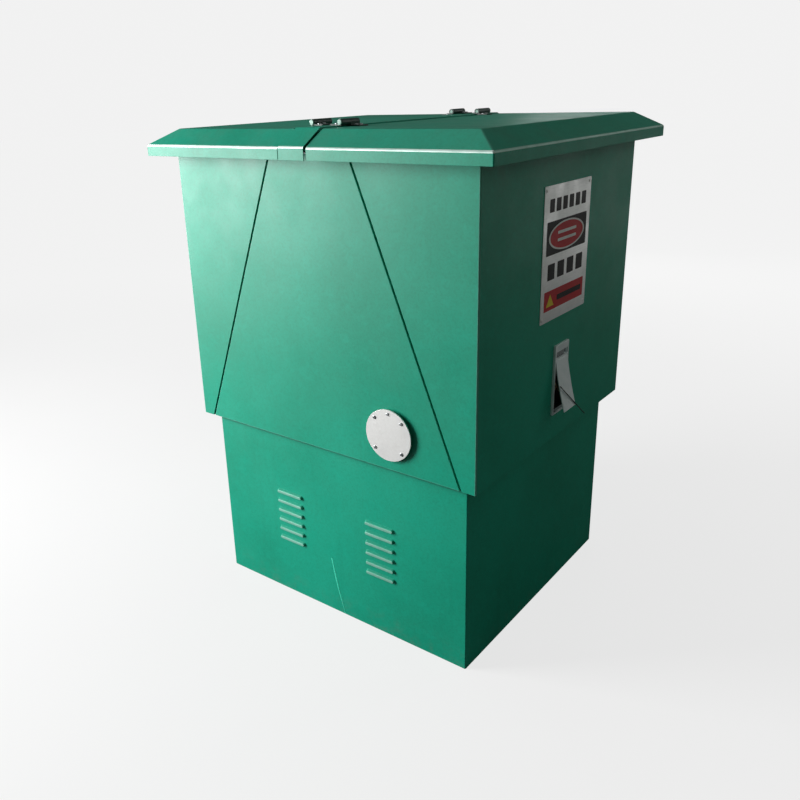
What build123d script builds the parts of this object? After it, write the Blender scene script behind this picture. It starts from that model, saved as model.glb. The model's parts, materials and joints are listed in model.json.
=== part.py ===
"""Outdoor cable branch box: louvred plinth, fixed tapered end panels and two gull-wing doors.

X is the width (the doors swing up over +X and -X), -Y is the front with the round port, +Z is up.
The origin is the centre of the plinth's underside. All sizes are in millimetres.
"""

from build123d import *
import os
from math import atan2, cos, hypot, radians, sin, tan

os.makedirs("parts", exist_ok=True)

# ---- sheet and clearances
sheet = 2.0  # panels, doors, roof and plinth
fit_gap = 0.3  # between pieces that touch only loosely
running_gap = 0.05  # radial, a pin in its hole

# ---- plinth and body
body_width = 900.0
body_depth = 807.0
body_bottom = 507.0  # underside of the doors and the end panels
plinth_step_x = 37.0  # how far the body stands out over the plinth at the sides
plinth_step_y = 26.5  # and at the front and rear
plinth_width = body_width - 2 * plinth_step_x
plinth_depth = body_depth - 2 * plinth_step_y
plinth_top = body_bottom + sheet
base_flange = 50.0
top_flange = 60.0
anchor_inset = 28.0
anchor_radius = 7.0
half_plinth_x = plinth_width / 2
half_plinth_y = plinth_depth / 2
half_body_x = body_width / 2
half_body_y = body_depth / 2

# ---- louvres
louvre_length = 94.5
louvre_height = 15.0
louvre_reach = 6.5
louvre_wall = 1.2  # the sheet thins where it is pressed out
louvre_slope = 28.0  # degrees
louvre_crest_radius = 3.4
louvre_pitch = 29.3
louvre_rows = 6
louvre_group_x = 155.0
louvre_centre_z = body_bottom - 262.5

# ---- roof
roof_overhang_x = 56.0
roof_overhang_y = 51.0
fascia_bottom = body_bottom + 719.0
fascia_top = fascia_bottom + 27.0
roof_top = fascia_top + 37.0
bevel_run_x = 62.0
bevel_run_y = 60.0
soffit = 25.0
half_roof_x = half_body_x + roof_overhang_x
half_roof_y = half_body_y + roof_overhang_y
bevel_angle_x = atan2(roof_top - fascia_top, bevel_run_x)
bevel_angle_y = atan2(roof_top - fascia_top, bevel_run_y)

# ---- seam between the tapered end panels and the doors' corner flaps
seam_half_bottom = half_body_x - 42.0
seam_half_top = 121.0  # at the fascia's lower edge
seam_gap = 5.0
seam_lean = (seam_half_bottom - seam_half_top) / (fascia_bottom - body_bottom)
pan_depth = (body_depth - plinth_depth) / 2

# ---- roof ridge: gutter beam, spine strip and hinges
gutter_half = 62.0
gutter_bottom = fascia_bottom + 12.0
gutter_height = 30.0
gutter_half_length = half_body_y + 21.5
spine_half = 38.0
spine_step = 3.0  # the strip stands this far proud of the roof
door_edge_x = spine_half + 4.5
spine_top = roof_top + spine_step
hinge_x = spine_half + 4.0
hinge_z = roof_top + 10.0
hinge_y = half_body_y - 102.5
knuckle_length = 32.0
knuckle_radius = 7.5
pin_radius = 4.0
leaf = 3.0
leaf_length = 28.0

# ---- sill and floor
angle_leg = 40.0
angle_wall = 4.0
sill_top = plinth_top + angle_leg
floor_thickness = 3.0
floor_bottom = plinth_top + angle_wall
floor_top = floor_bottom + floor_thickness

# ---- high-voltage gear
phase_pitch = 190.0
phase_y = [-phase_pitch, 0.0, phase_pitch]
bushing_z = body_bottom + 453.0
plate_thickness = 6.0
cable_x = 170.0
cable_bore = 20.0
cable_bore_depth = 80.0
grommet_hole = 35.0
connector_foot_z = bushing_z - 240.0
rail_z = connector_foot_z - 80.0
rail_half_length = half_plinth_y - 47.0
rail_x = cable_x + 45.0

# ---- round port
port_x = 217.0
port_z = body_bottom + 94.0
port_radius = 65.0
port_bore = 45.0
port_ring_height = 6.0
port_gasket_thickness = 1.5
port_cover_thickness = 3.0
port_screw_circle = 0.84 * port_radius
port_screw_angles = [45, 90, 135, 225, 315]
port_screw_radius = 2.5

# ---- lock
lock_half_width = 38.0
lock_bottom = body_bottom + 69.0
lock_top = lock_bottom + 184.0
lock_proud = 6.0
lock_rim = 4.5
lock_box_inset = 3.0
lock_depth = 26.0  # behind the door's outer face
pocket_bottom = lock_bottom + 8.0
pocket_top = lock_top - 37.5
flap_pivot_x = half_body_x + lock_proud - 3.6
flap_pivot_z = pocket_top - 4.0
flap_length = 132.5
flap_half_width = 32.8
flap_thickness = 2.4
flap_sag = 2.0
flap_stand_angle = 12.6  # how far the key holds the right flap open
cylinder_z = lock_bottom + 64.0
cylinder_radius = 11.0
spindle_radius = 5.0
cam_length = 45.0
cam_thickness = 4.0
cam_outer_x = half_body_x - 34.0

# ---- gas struts, one at each end of each door
strut_y = half_body_y - 41.5
strut_foot = (gutter_half + 13.0, fascia_bottom - 36.0)
strut_head = (half_body_x - 60.0, fascia_bottom - 166.0)
strut_tube_radius = 9.0
strut_rod_radius = 4.0
strut_eye_half = 5.0
strut_length = hypot(strut_head[0] - strut_foot[0], strut_head[1] - strut_foot[1])
strut_angle = atan2(strut_head[1] - strut_foot[1], strut_head[0] - strut_foot[0])
strut_tube_end = strut_length - 52.0
strut_bracket_face = strut_y + strut_eye_half + 5.0  # welded inside the corner flaps
strut_bracket_size = 56.0

# ---- sign plate
sign_half_width = 125.0
sign_bottom = body_bottom + 325.5
sign_top = sign_bottom + 319.0
sign_thickness = 1.5


def write_step(shape, label):
    """Name a finished piece and write it as its own STEP file."""
    shape.label = label
    export_step(shape, f"parts/{label}.step")


def write_pair(shape, label):
    """Write a right-hand piece and its mirror image on the left."""
    write_step(shape, f"right_{label}")
    write_step(mirror(shape, about=Plane.YZ), f"left_{label}")


def seam_x(height, clearance=0.0):
    """Half width of the tapered panel at a height, moved out square to the seam by a clearance."""
    return seam_half_bottom - seam_lean * (height - body_bottom) + clearance * hypot(1, seam_lean)


def under_roof(distance, half, run, angle):
    """Height of the underside of the roof's bevel at a distance from the centre."""
    inner_edge = half - run - sheet * tan(angle / 2)
    return roof_top - sheet - max(0.0, distance - inner_edge) * tan(angle)


def roof_profile(half, run, angle, outward):
    """Half of the canopy's section, moved outward square to its faces: (distance, height) points."""
    return [
        (half - run + outward * tan(angle / 2), roof_top + outward),
        (half + outward, fascia_top + outward * tan((radians(90) - angle) / 2)),
        (half + outward, fascia_bottom),
    ]


def canopy(outward, bottom):
    """The whole hipped canopy as one closed solid, moved outward square to its faces."""
    across = roof_profile(half_roof_x, bevel_run_x, bevel_angle_x, outward)
    along = roof_profile(half_roof_y, bevel_run_y, bevel_angle_y, outward)
    eaves = across[1][1]
    with BuildPart(mode=Mode.PRIVATE) as block:
        with BuildSketch(Plane.XY.offset(bottom)):
            Rectangle(2 * across[1][0], 2 * along[1][0])
        extrude(amount=eaves - bottom)
        with BuildSketch(Plane.XY.offset(eaves)):
            Rectangle(2 * across[1][0], 2 * along[1][0])
        with BuildSketch(Plane.XY.offset(across[0][1])):
            Rectangle(2 * across[0][0], 2 * along[0][0])
        loft()
    return block.part


def screw(head_radius, head_height, shank_radius, shank_length):
    """A pan-head screw whose head stands on the XY plane and whose shank points down."""
    with BuildPart(mode=Mode.PRIVATE) as body:
        Cylinder(head_radius, head_height, align=(Align.CENTER, Align.CENTER, Align.MIN))
        fillet(body.edges().group_by(Axis.Z)[-1], 0.6 * head_height)
        Cylinder(shank_radius, shank_length, align=(Align.CENTER, Align.CENTER, Align.MAX))
    return body.part


def end_plane(side, distance):
    """Vertical plane across Y with its normal pointing out of the box at one end (side is -1 or 1)."""
    return Plane(origin=(0, side * distance, 0), x_dir=(-side, 0, 0), z_dir=(0, side, 0))


# ======================================================================== plinth, sill and floor

slit_height = louvre_height - 2 * sheet
mouth_z = -louvre_height / 4

with BuildPart() as hood:  # one pressed louvre, standing on the XY plane with its mouth towards -Y
    with BuildSketch():
        SlotOverall(louvre_length, louvre_height)
    extrude(amount=louvre_reach, taper=louvre_slope)
    fillet(hood.faces().sort_by(Axis.Z)[-1].edges(), louvre_crest_radius)
    with BuildSketch():
        SlotOverall(louvre_length - 2 * sheet, slit_height)
    extrude(amount=louvre_reach - louvre_wall, taper=louvre_slope, mode=Mode.SUBTRACT)
    with Locations((0, mouth_z, 0)):
        Box(
            louvre_length,
            louvre_height,
            4 * louvre_reach,
            align=(Align.CENTER, Align.MAX, Align.CENTER),
            mode=Mode.SUBTRACT,
        )

with BuildPart() as slit:  # the hole in the sheet behind the hood
    with BuildSketch(Plane.XY.offset(-2 * sheet)):
        SlotOverall(louvre_length - 2 * sheet, slit_height)
    extrude(amount=2 * sheet)
    with Locations((0, mouth_z, 0)):
        Box(
            louvre_length,
            louvre_height,
            8 * sheet,
            align=(Align.CENTER, Align.MAX, Align.CENTER),
            mode=Mode.SUBTRACT,
        )


def louvre_places(side):
    """Where the louvres stand on the front (-1) or rear (1) face of the plinth."""
    places = []
    for group_x in (-louvre_group_x, louvre_group_x):
        for row in range(louvre_rows):
            height = louvre_centre_z + (row - (louvre_rows - 1) / 2) * louvre_pitch
            origin = (group_x, side * half_plinth_y, height)
            face = Plane(origin=origin, x_dir=(-side, 0, 0), z_dir=(0, side, 0))
            places.append(face)
    return places


with BuildPart() as plinth:
    with Locations((0, 0, plinth_top / 2)):
        Box(plinth_width, plinth_depth, plinth_top)
        Box(
            plinth_width - 2 * sheet,
            plinth_depth - 2 * sheet,
            plinth_top - 2 * sheet,
            mode=Mode.SUBTRACT,
        )
    with Locations((0, 0, 0)):
        Box(
            plinth_width - 2 * base_flange,
            plinth_depth - 2 * base_flange,
            4 * sheet,
            mode=Mode.SUBTRACT,
        )
    with Locations((0, 0, plinth_top)):
        Box(
            plinth_width - 2 * top_flange,
            plinth_depth - 2 * top_flange,
            4 * sheet,
            mode=Mode.SUBTRACT,
        )
    with GridLocations(plinth_width - 2 * anchor_inset, plinth_depth - 2 * anchor_inset, 2, 2):
        Cylinder(anchor_radius, 4 * sheet, mode=Mode.SUBTRACT)
    for side in (-1, 1):
        for face in louvre_places(side):
            add(face.location * slit.part, mode=Mode.SUBTRACT)
            add(face.location * hood.part)
write_step(plinth.part, "plinth_shell")

floor_bolt_inset = 27.0  # from the plinth's outer faces
floor_bolt_radius = 4.0
floor_bolt_columns = 4
floor_bolt_grid = GridLocations(
    (plinth_width - 2 * floor_bolt_inset) / (floor_bolt_columns - 1),
    plinth_depth - 2 * floor_bolt_inset,
    floor_bolt_columns,
    2,
)
floor_bolt_drill = Cylinder(floor_bolt_radius + fit_gap, 4 * floor_thickness)

with BuildPart() as sill:
    with Locations((0, 0, plinth_top + angle_leg / 2)):
        Box(plinth_width, plinth_depth, angle_leg)
        Box(
            plinth_width - 2 * angle_leg,
            plinth_depth - 2 * angle_leg,
            2 * angle_leg,
            mode=Mode.SUBTRACT,
        )
    with Locations((0, 0, floor_bottom + angle_leg / 2)):
        Box(
            plinth_width - 2 * angle_wall,
            plinth_depth - 2 * angle_wall,
            angle_leg,
            mode=Mode.SUBTRACT,
        )
write_step(sill.part, "sill_frame")

with BuildPart() as floor_plate:
    with Locations((0, 0, floor_bottom + floor_thickness / 2)):
        Box(
            plinth_width - 2 * angle_wall - 2 * fit_gap,
            plinth_depth - 2 * angle_wall - 2 * fit_gap,
            floor_thickness,
        )
    for centre_x in (-cable_x, cable_x):
        for centre_y in phase_y:
            with Locations((centre_x, centre_y, floor_bottom)):
                Cylinder(grommet_hole, 4 * floor_thickness, mode=Mode.SUBTRACT)
    for place in floor_bolt_grid.locations:
        add(place * Pos(0, 0, floor_bottom) * floor_bolt_drill, mode=Mode.SUBTRACT)
write_step(floor_plate.part, "floor_plate")

with BuildPart() as floor_bolts:
    bolt = screw(8.0, 6.0, floor_bolt_radius, floor_thickness)
    for place in floor_bolt_grid.locations:
        add(place * Pos(0, 0, floor_top) * bolt)
write_step(floor_bolts.part, "floor_bolts")

with BuildPart() as grommet:
    with BuildSketch(Plane.XZ):
        with BuildLine():
            Polyline(
                (cable_bore + 2, floor_top + 14),
                (cable_bore + 2, floor_bottom - 4),
                (grommet_hole + 7, floor_bottom - 4),
                (grommet_hole + 7, floor_bottom),
                (grommet_hole - fit_gap, floor_bottom),
                (grommet_hole - fit_gap, floor_top),
                (grommet_hole + 7, floor_top),
                (grommet_hole + 7, floor_top + 4),
                (cable_bore + 6, floor_top + 14),
                close=True,
            )
        make_face()
    revolve(axis=Axis.Z)

with BuildPart() as grommets:
    for centre_x in (-cable_x, cable_x):
        for centre_y in phase_y:
            add(Pos(centre_x, centre_y, 0) * grommet.part)
write_step(grommets.part, "cable_grommets")

# ======================================================================== fixed end panels and port


def end_panel(side):
    """The fixed tapered pan at the front (-1) or the rear (1), open towards the inside."""
    with BuildPart() as pan:
        with BuildSketch(end_plane(side, half_body_y)):
            with BuildLine():
                Polyline(
                    (-seam_x(body_bottom), body_bottom),
                    (seam_x(body_bottom), body_bottom),
                    (seam_x(gutter_bottom), gutter_bottom),
                    (-seam_x(gutter_bottom), gutter_bottom),
                    close=True,
                )
            make_face()
        extrude(amount=-pan_depth)
        inner_face = pan.faces().sort_by(Axis.Y)[0 if side > 0 else -1]
        offset(amount=-sheet, openings=inner_face)
    return pan.part


port_plane = Plane(origin=(port_x, -half_body_y, port_z), x_dir=(1, 0, 0), z_dir=(0, -1, 0))

with BuildPart() as front_panel:
    add(end_panel(-1))
    with BuildSketch(port_plane.offset(-2 * sheet)):
        Circle(port_bore)
    extrude(amount=4 * sheet, mode=Mode.SUBTRACT)
write_step(front_panel.part, "front_panel")
write_step(end_panel(1), "rear_panel")


def port_screw_places(height):
    """The port's screw positions, at a height above the front panel."""
    return [
        port_plane.offset(height).location
        * Pos(port_screw_circle * cos(radians(turn)), port_screw_circle * sin(radians(turn)), 0)
        for turn in port_screw_angles
    ]


port_drill = Cylinder(port_screw_radius, 4 * port_ring_height)


def port_layer(outer, inner, start, thickness):
    """A ring or disc of the port, drilled for its screws."""
    with BuildPart() as layer:
        with BuildSketch(port_plane.offset(start)):
            Circle(outer)
            if inner:
                Circle(inner, mode=Mode.SUBTRACT)
        extrude(amount=thickness)
        for place in port_screw_places(start + thickness / 2):
            add(place * port_drill, mode=Mode.SUBTRACT)
    return layer.part


gasket_start = port_ring_height
cover_start = gasket_start + port_gasket_thickness
cover_face = cover_start + port_cover_thickness
write_step(port_layer(port_radius - 3, port_bore, 0, port_ring_height), "port_ring")
write_step(port_layer(port_radius - 4, port_bore, gasket_start, port_gasket_thickness), "port_gasket")
write_step(port_layer(port_radius, 0, cover_start, port_cover_thickness), "port_cover")

with BuildPart() as port_screws:
    for place in port_screw_places(cover_face):
        add(place * screw(4.2, 2.4, port_screw_radius - 0.1, cover_face - sheet))
write_step(port_screws.part, "port_screws")

# ======================================================================== roof ridge

with BuildPart() as gutter:
    with BuildSketch(Plane.XZ.offset(-gutter_half_length)):
        with Locations((0, gutter_bottom + gutter_height / 2)):
            Rectangle(2 * gutter_half, gutter_height)
        with Locations((0, gutter_bottom + sheet + gutter_height / 2)):
            Rectangle(2 * (gutter_half - sheet), gutter_height, mode=Mode.SUBTRACT)
    extrude(amount=2 * gutter_half_length)
write_step(gutter.part, "roof_gutter")


with BuildPart() as spine:
    outer = roof_profile(half_roof_y, bevel_run_y, bevel_angle_y, spine_step)
    inner = roof_profile(half_roof_y, bevel_run_y, bevel_angle_y, spine_step - sheet)
    with BuildSketch(Plane.YZ.offset(-spine_half)):
        with BuildLine():
            Polyline(
                *[(-y, z) for y, z in outer[::-1]],
                *outer,
                *inner[::-1],
                *[(-y, z) for y, z in inner],
                close=True,
            )
        make_face()
    extrude(amount=2 * spine_half)
    web_bottom = gutter_bottom + sheet
    for side in (-1, 1):
        with Locations((side * (spine_half - sheet / 2), 0, web_bottom)):
            Box(
                sheet,
                2 * half_body_y,
                spine_top - sheet - web_bottom,
                align=(Align.CENTER, Align.CENTER, Align.MIN),
            )
write_step(spine.part, "roof_spine")

# ======================================================================== hinges

screw_reach = leaf_length / 2 + 2


def knuckle(start, end, bottom, toward):
    """One barrel half with its leaf; toward is -1 for the spine's leaf and 1 for the door's."""
    with BuildPart() as half:
        with BuildSketch(Plane(origin=(hinge_x, start, hinge_z), z_dir=(0, 1, 0))):
            Circle(knuckle_radius)
        extrude(amount=end - start)
        web_near = hinge_x + toward * 2.0
        leaf_end = hinge_x + toward * (leaf_length + 3)
        with Locations(((web_near + leaf_end) / 2, (start + end) / 2, bottom + leaf / 2)):
            Box(abs(leaf_end - web_near), end - start, leaf)
        with Locations((web_near + toward * 2.5, (start + end) / 2, bottom)):
            Box(5, end - start, hinge_z - bottom - 2, align=(Align.CENTER, Align.CENTER, Align.MIN))
        with BuildSketch(Plane(origin=(hinge_x, start - 1, hinge_z), z_dir=(0, 1, 0))):
            Circle(pin_radius + running_gap)
        extrude(amount=end - start + 2, mode=Mode.SUBTRACT)
        for inset in (0.25, 0.75):
            along = start + inset * (end - start)
            with Locations((hinge_x + toward * screw_reach, along, bottom)):
                Cylinder(2.6, 4 * leaf, mode=Mode.SUBTRACT)
    return half.part


fixed_start = hinge_y + fit_gap / 2
fixed_end = fixed_start + knuckle_length
moving_end = hinge_y - fit_gap / 2
moving_start = moving_end - knuckle_length

fixed_knuckle = knuckle(fixed_start, fixed_end, spine_top, -1)
moving_knuckle = knuckle(moving_start, moving_end, roof_top, 1)

with BuildPart() as fixed_knuckles:
    add(fixed_knuckle)
    mirror(about=Plane.XZ)
    mirror(about=Plane.YZ)
write_step(fixed_knuckles.part, "hinge_fixed_knuckles")

with BuildPart() as moving_knuckles:
    add(moving_knuckle)
    mirror(about=Plane.XZ)
write_pair(moving_knuckles.part, "hinge_knuckles")

with BuildPart() as pins:
    with BuildSketch(Plane(origin=(hinge_x, moving_start, hinge_z), z_dir=(0, 1, 0))):
        Circle(pin_radius)
    extrude(amount=fixed_end - moving_start)
    with BuildSketch(Plane(origin=(hinge_x, fixed_end, hinge_z), z_dir=(0, 1, 0))):
        Circle(knuckle_radius - 1)
    extrude(amount=2.5)
    fillet(pins.edges().group_by(Axis.Y)[-1], 1.5)
    mirror(about=Plane.XZ)
    mirror(about=Plane.YZ)
write_step(pins.part, "hinge_pins")


def leaf_screws(start, end, bottom, toward):
    """The screws of one hinge leaf and their mirror images at the other end of the box."""
    with BuildPart() as screws:
        for inset in (0.25, 0.75):
            along = start + inset * (end - start)
            place = Pos(hinge_x + toward * screw_reach, along, bottom + leaf)
            add(place * screw(4.5, 2.5, 2.4, leaf))
        mirror(about=Plane.XZ)
    return screws.part


with BuildPart() as fixed_screws:
    add(leaf_screws(fixed_start, fixed_end, spine_top, -1))
    mirror(about=Plane.YZ)
write_step(fixed_screws.part, "hinge_fixed_screws")
write_pair(leaf_screws(moving_start, moving_end, roof_top, 1), "hinge_screws")

# ======================================================================== doors

wall_top = under_roof(half_body_y, half_roof_y, bevel_run_y, bevel_angle_y) - fit_gap
inner_x = half_body_x - sheet
flap_return = 24.0
hem_x = half_plinth_x + 5.0
hem_height = 28.0
lip = 20.0
rib_y = 220.0
rib_width = 30.0
rib_depth = 25.0
rib_inner_x = 72.0
rib_foot = body_bottom + 53.0


def seam_strip(near, far, bottom, top):
    """A thin strip beside the right-hand seam, between two clearances, as (x, z) points."""
    return [
        (seam_x(bottom, near), bottom),
        (seam_x(bottom, far), bottom),
        (seam_x(top, far), top),
        (seam_x(top, near), top),
    ]


with BuildPart() as door_shell:
    with BuildSketch(Plane.XZ.offset(-half_body_y)):
        with BuildLine():
            Polyline(
                (seam_x(body_bottom, seam_gap), body_bottom),
                (half_body_x, body_bottom),
                (half_body_x, wall_top),
                (seam_x(wall_top, seam_gap), wall_top),
                close=True,
            )
        make_face()
    extrude(amount=body_depth)
    top_face = door_shell.faces().sort_by(Axis.Z)[-1]
    seam_face = door_shell.faces().sort_by(Axis.X)[0]
    offset(amount=-sheet, openings=[top_face, seam_face])
    with Locations((hem_x, 0, body_bottom)):
        Box(
            4 * lip,
            plinth_depth + 4 * sheet,
            4 * sheet,
            align=(Align.MAX, Align.CENTER, Align.CENTER),
            mode=Mode.SUBTRACT,
        )
    with Locations((hem_x, 0, body_bottom)):
        Box(sheet, plinth_depth, hem_height, align=(Align.MIN, Align.CENTER, Align.MIN))
    for side in (-1, 1):
        with BuildSketch(Plane.XZ.offset(-side * half_body_y)):
            with BuildLine():
                Polyline(*seam_strip(seam_gap, seam_gap + sheet, body_bottom, wall_top), close=True)
            make_face()
        extrude(amount=side * flap_return)
        with Locations((half_body_x, side * half_body_y, wall_top)):
            Box(
                half_body_x - seam_x(wall_top, seam_gap),
                lip,
                sheet,
                align=(Align.MAX, Align.MAX if side > 0 else Align.MIN, Align.MAX),
            )
    with Locations((half_body_x, 0, wall_top)):
        Box(lip, body_depth, sheet, align=(Align.MAX, Align.CENTER, Align.MAX))
    for centre in (-rib_y, rib_y):
        with Locations((inner_x, centre, wall_top)):
            Box(
                2 * lip,
                rib_width + 2 * fit_gap,
                4 * sheet,
                align=(Align.MAX, Align.CENTER, Align.CENTER),
                mode=Mode.SUBTRACT,
            )
    bracket_depth = half_body_y - sheet - strut_bracket_face
    for side in (-1, 1):
        middle = side * (strut_bracket_face + bracket_depth / 2)
        with Locations((strut_head[0], middle, strut_head[1])):
            Box(strut_bracket_size, bracket_depth, strut_bracket_size)
        with Locations((strut_head[0], middle + side * sheet / 2, strut_head[1])):
            Box(
                2 * strut_bracket_size,
                bracket_depth - sheet,
                strut_bracket_size - 3 * sheet,
                mode=Mode.SUBTRACT,
            )
    with Locations((inner_x, 0, (lock_bottom + lock_top) / 2)):
        Box(
            4 * sheet,
            2 * (lock_half_width - lock_box_inset) + 2 * fit_gap,
            lock_top - lock_bottom - 2 * lock_box_inset + 2 * fit_gap,
            mode=Mode.SUBTRACT,
        )
write_pair(door_shell.part, "door_shell")

with BuildPart() as roof_half:
    add(canopy(0.0, fascia_bottom))
    add(canopy(-sheet, fascia_bottom - sheet), mode=Mode.SUBTRACT)
    with BuildSketch(Plane.XY.offset(fascia_bottom)):
        Rectangle(2 * half_roof_x, 2 * half_roof_y)
        Rectangle(2 * (half_roof_x - soffit), 2 * (half_roof_y - soffit), mode=Mode.SUBTRACT)
    extrude(amount=sheet)
    split(bisect_by=Plane.YZ.offset(door_edge_x), keep=Keep.TOP)
    with Locations((door_edge_x, 0, roof_top - sheet)):
        Box(
            sheet,
            2 * (half_roof_y - bevel_run_y),
            12.0,
            align=(Align.MIN, Align.CENTER, Align.MAX),
        )
write_pair(roof_half.part, "roof_half")


def rib_outline(inset):
    """The bent rib under the roof and down the side; inset is measured from the outer skin."""
    shoulder = half_roof_x - bevel_run_x - sheet * tan(bevel_angle_x / 2) - 2
    top = roof_top - sheet - inset
    side = inner_x - inset
    corner = under_roof(inner_x, half_roof_x, bevel_run_x, bevel_angle_x) - fit_gap - inset
    return [
        (rib_inner_x, top),
        (shoulder, top),
        (side, corner),
        (side, rib_foot),
        (inner_x - rib_depth, rib_foot),
        (inner_x - rib_depth, roof_top - sheet - rib_depth),
        (rib_inner_x, roof_top - sheet - rib_depth),
    ]


with BuildPart() as ribs:
    for centre in (-rib_y, rib_y):
        for inset, width, mode in ((0, rib_width, Mode.ADD), (sheet, rib_width - 2 * sheet, Mode.SUBTRACT)):
            with BuildSketch(Plane.XZ.offset(-centre - width / 2)):
                with BuildLine():
                    Polyline(*rib_outline(inset), close=True)
                make_face()
            extrude(amount=width, mode=mode)
write_pair(ribs.part, "door_ribs")

with BuildPart() as door_seal:
    with Locations((half_plinth_x, 0, plinth_top + 9)):
        Box(
            hem_x - half_plinth_x - fit_gap,
            plinth_depth - 20,
            12,
            align=(Align.MIN, Align.CENTER, Align.MIN),
        )
    for side in (-1, 1):
        with BuildSketch(Plane.XZ.offset(-side * (half_body_y - 6))):
            with BuildLine():
                outline = seam_strip(0, seam_gap - fit_gap, plinth_top, gutter_bottom - sheet)
                Polyline(*outline, close=True)
            make_face()
        extrude(amount=side * 16)
write_pair(door_seal.part, "door_seal")

# ======================================================================== sign plate

rivet_radius = 1.8
rivet_inset = 10.0
rivet_drill = Cylinder(rivet_radius + running_gap, 4 * sign_thickness)
sign_rivet_places = [
    Plane.YZ.offset(half_body_x + sign_thickness).location
    * Pos(across * (sign_half_width - rivet_inset), height, 0)
    for across in (-1, 1)
    for height in (sign_bottom + rivet_inset, sign_top - rivet_inset)
]

with BuildPart() as sign_plate:
    with BuildSketch(Plane.YZ.offset(half_body_x)):
        with Locations((0, (sign_bottom + sign_top) / 2)):
            RectangleRounded(2 * sign_half_width, sign_top - sign_bottom, 4)
    extrude(amount=sign_thickness)
    for place in sign_rivet_places:
        add(place * rivet_drill, mode=Mode.SUBTRACT)
write_step(sign_plate.part, "right_sign_plate")

with BuildPart() as sign_rivets:
    for place in sign_rivet_places:
        add(place * screw(3.5, 1.6, rivet_radius, sign_thickness))
write_step(sign_rivets.part, "right_sign_rivets")

# ======================================================================== locks

lock_face = half_body_x + lock_proud
lock_back = half_body_x - lock_depth
pocket_floor = lock_back + sheet
pocket_half = lock_half_width - lock_rim
window_half = 32.0
window_bottom = pocket_top + 4.5
window_top = window_bottom + 15.0

with BuildPart() as lock_frame:
    with BuildSketch(Plane.YZ.offset(half_body_x)):
        with Locations((0, (lock_bottom + lock_top) / 2)):
            RectangleRounded(2 * lock_half_width, lock_top - lock_bottom, 3)
    extrude(amount=lock_proud)
    fillet(lock_frame.faces().sort_by(Axis.X)[-1].edges(), 1.2)
    with BuildSketch(Plane.YZ.offset(lock_back)):
        with Locations((0, (lock_bottom + lock_top) / 2)):
            Rectangle(
                2 * (lock_half_width - lock_box_inset),
                lock_top - lock_bottom - 2 * lock_box_inset,
            )
    extrude(amount=lock_depth)
    with Locations((pocket_floor, 0, (pocket_bottom + pocket_top) / 2)):
        Box(
            2 * lock_depth,
            2 * pocket_half,
            pocket_top - pocket_bottom,
            align=(Align.MIN, Align.CENTER, Align.CENTER),
            mode=Mode.SUBTRACT,
        )
    with Locations((lock_face - 3.5, 0, (window_bottom + window_top) / 2)):
        Box(
            lock_depth,
            2 * window_half,
            window_top - window_bottom,
            align=(Align.MIN, Align.CENTER, Align.CENTER),
            mode=Mode.SUBTRACT,
        )
    with Locations((pocket_floor + 4, 22.0, (window_bottom + window_top) / 2)):
        Box(
            lock_depth,
            13.0,
            window_top - window_bottom - 3,
            align=(Align.MIN, Align.CENTER, Align.CENTER),
            mode=Mode.SUBTRACT,
        )
    with Locations((lock_back, 0, cylinder_z)):
        Cylinder(
            spindle_radius + 2 + running_gap, 4 * sheet, rotation=(0, 90, 0), mode=Mode.SUBTRACT
        )
    with Locations((flap_pivot_x, 0, flap_pivot_z)):
        Cylinder(
            2.0 + running_gap, 2 * (pocket_half + 2.5), rotation=(90, 0, 0), mode=Mode.SUBTRACT
        )
write_pair(lock_frame.part, "lock_frame")


def lock_flap(turn):
    """The hinged cover over the keyhole, swung out from the frame by an angle in degrees."""
    with BuildPart() as flap:
        face_x = flap_pivot_x + 3.6
        drop = flap_pivot_z - flap_length
        with BuildSketch(Plane.XZ.offset(-flap_half_width)):
            with BuildLine():
                ThreePointArc(
                    (face_x, flap_pivot_z),
                    (face_x - flap_sag, (flap_pivot_z + drop) / 2),
                    (face_x, drop),
                )
                Line((face_x, drop), (face_x - flap_thickness, drop))
                ThreePointArc(
                    (face_x - flap_thickness, drop),
                    (face_x - flap_sag - flap_thickness, (flap_pivot_z + drop) / 2),
                    (face_x - flap_thickness, flap_pivot_z),
                )
                Line((face_x - flap_thickness, flap_pivot_z), (face_x, flap_pivot_z))
            make_face()
        extrude(amount=2 * flap_half_width)
        with Locations((flap_pivot_x, 0, flap_pivot_z)):
            Cylinder(3.6, 2 * flap_half_width, rotation=(90, 0, 0))
            Cylinder(2.0, 2 * (pocket_half + 2), rotation=(90, 0, 0))
    hinge = Axis((flap_pivot_x, 0, flap_pivot_z), (0, -1, 0))
    return flap.part.rotate(hinge, turn)


write_step(lock_flap(flap_stand_angle), "right_lock_flap")
write_step(mirror(lock_flap(0), about=Plane.YZ), "left_lock_flap")

with BuildPart() as lock_housing:
    with Locations((pocket_floor, 0, cylinder_z)):
        Cylinder(
            cylinder_radius,
            14.0,
            rotation=(0, 90, 0),
            align=(Align.CENTER, Align.CENTER, Align.MIN),
        )
        Cylinder(
            spindle_radius + running_gap, 60, rotation=(0, 90, 0), mode=Mode.SUBTRACT
        )
    fillet(lock_housing.faces().sort_by(Axis.X)[-1].edges().sort_by(SortBy.LENGTH)[-1], 1.0)
write_pair(lock_housing.part, "lock_housing")

plug_face = pocket_floor + 14.0
cam_inner_x = cam_outer_x - cam_thickness

with BuildPart() as lock_plug:
    with BuildSketch(Plane.YZ.offset(cam_inner_x - 3)):
        with Locations((0, cylinder_z)):
            Circle(spindle_radius)
    extrude(amount=plug_face + 0.6 - cam_inner_x + 3)
    with Locations((plug_face, 0, cylinder_z)):
        Box(12, 1.6, 7.0, mode=Mode.SUBTRACT)
write_pair(lock_plug.part, "lock_plug")

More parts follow.
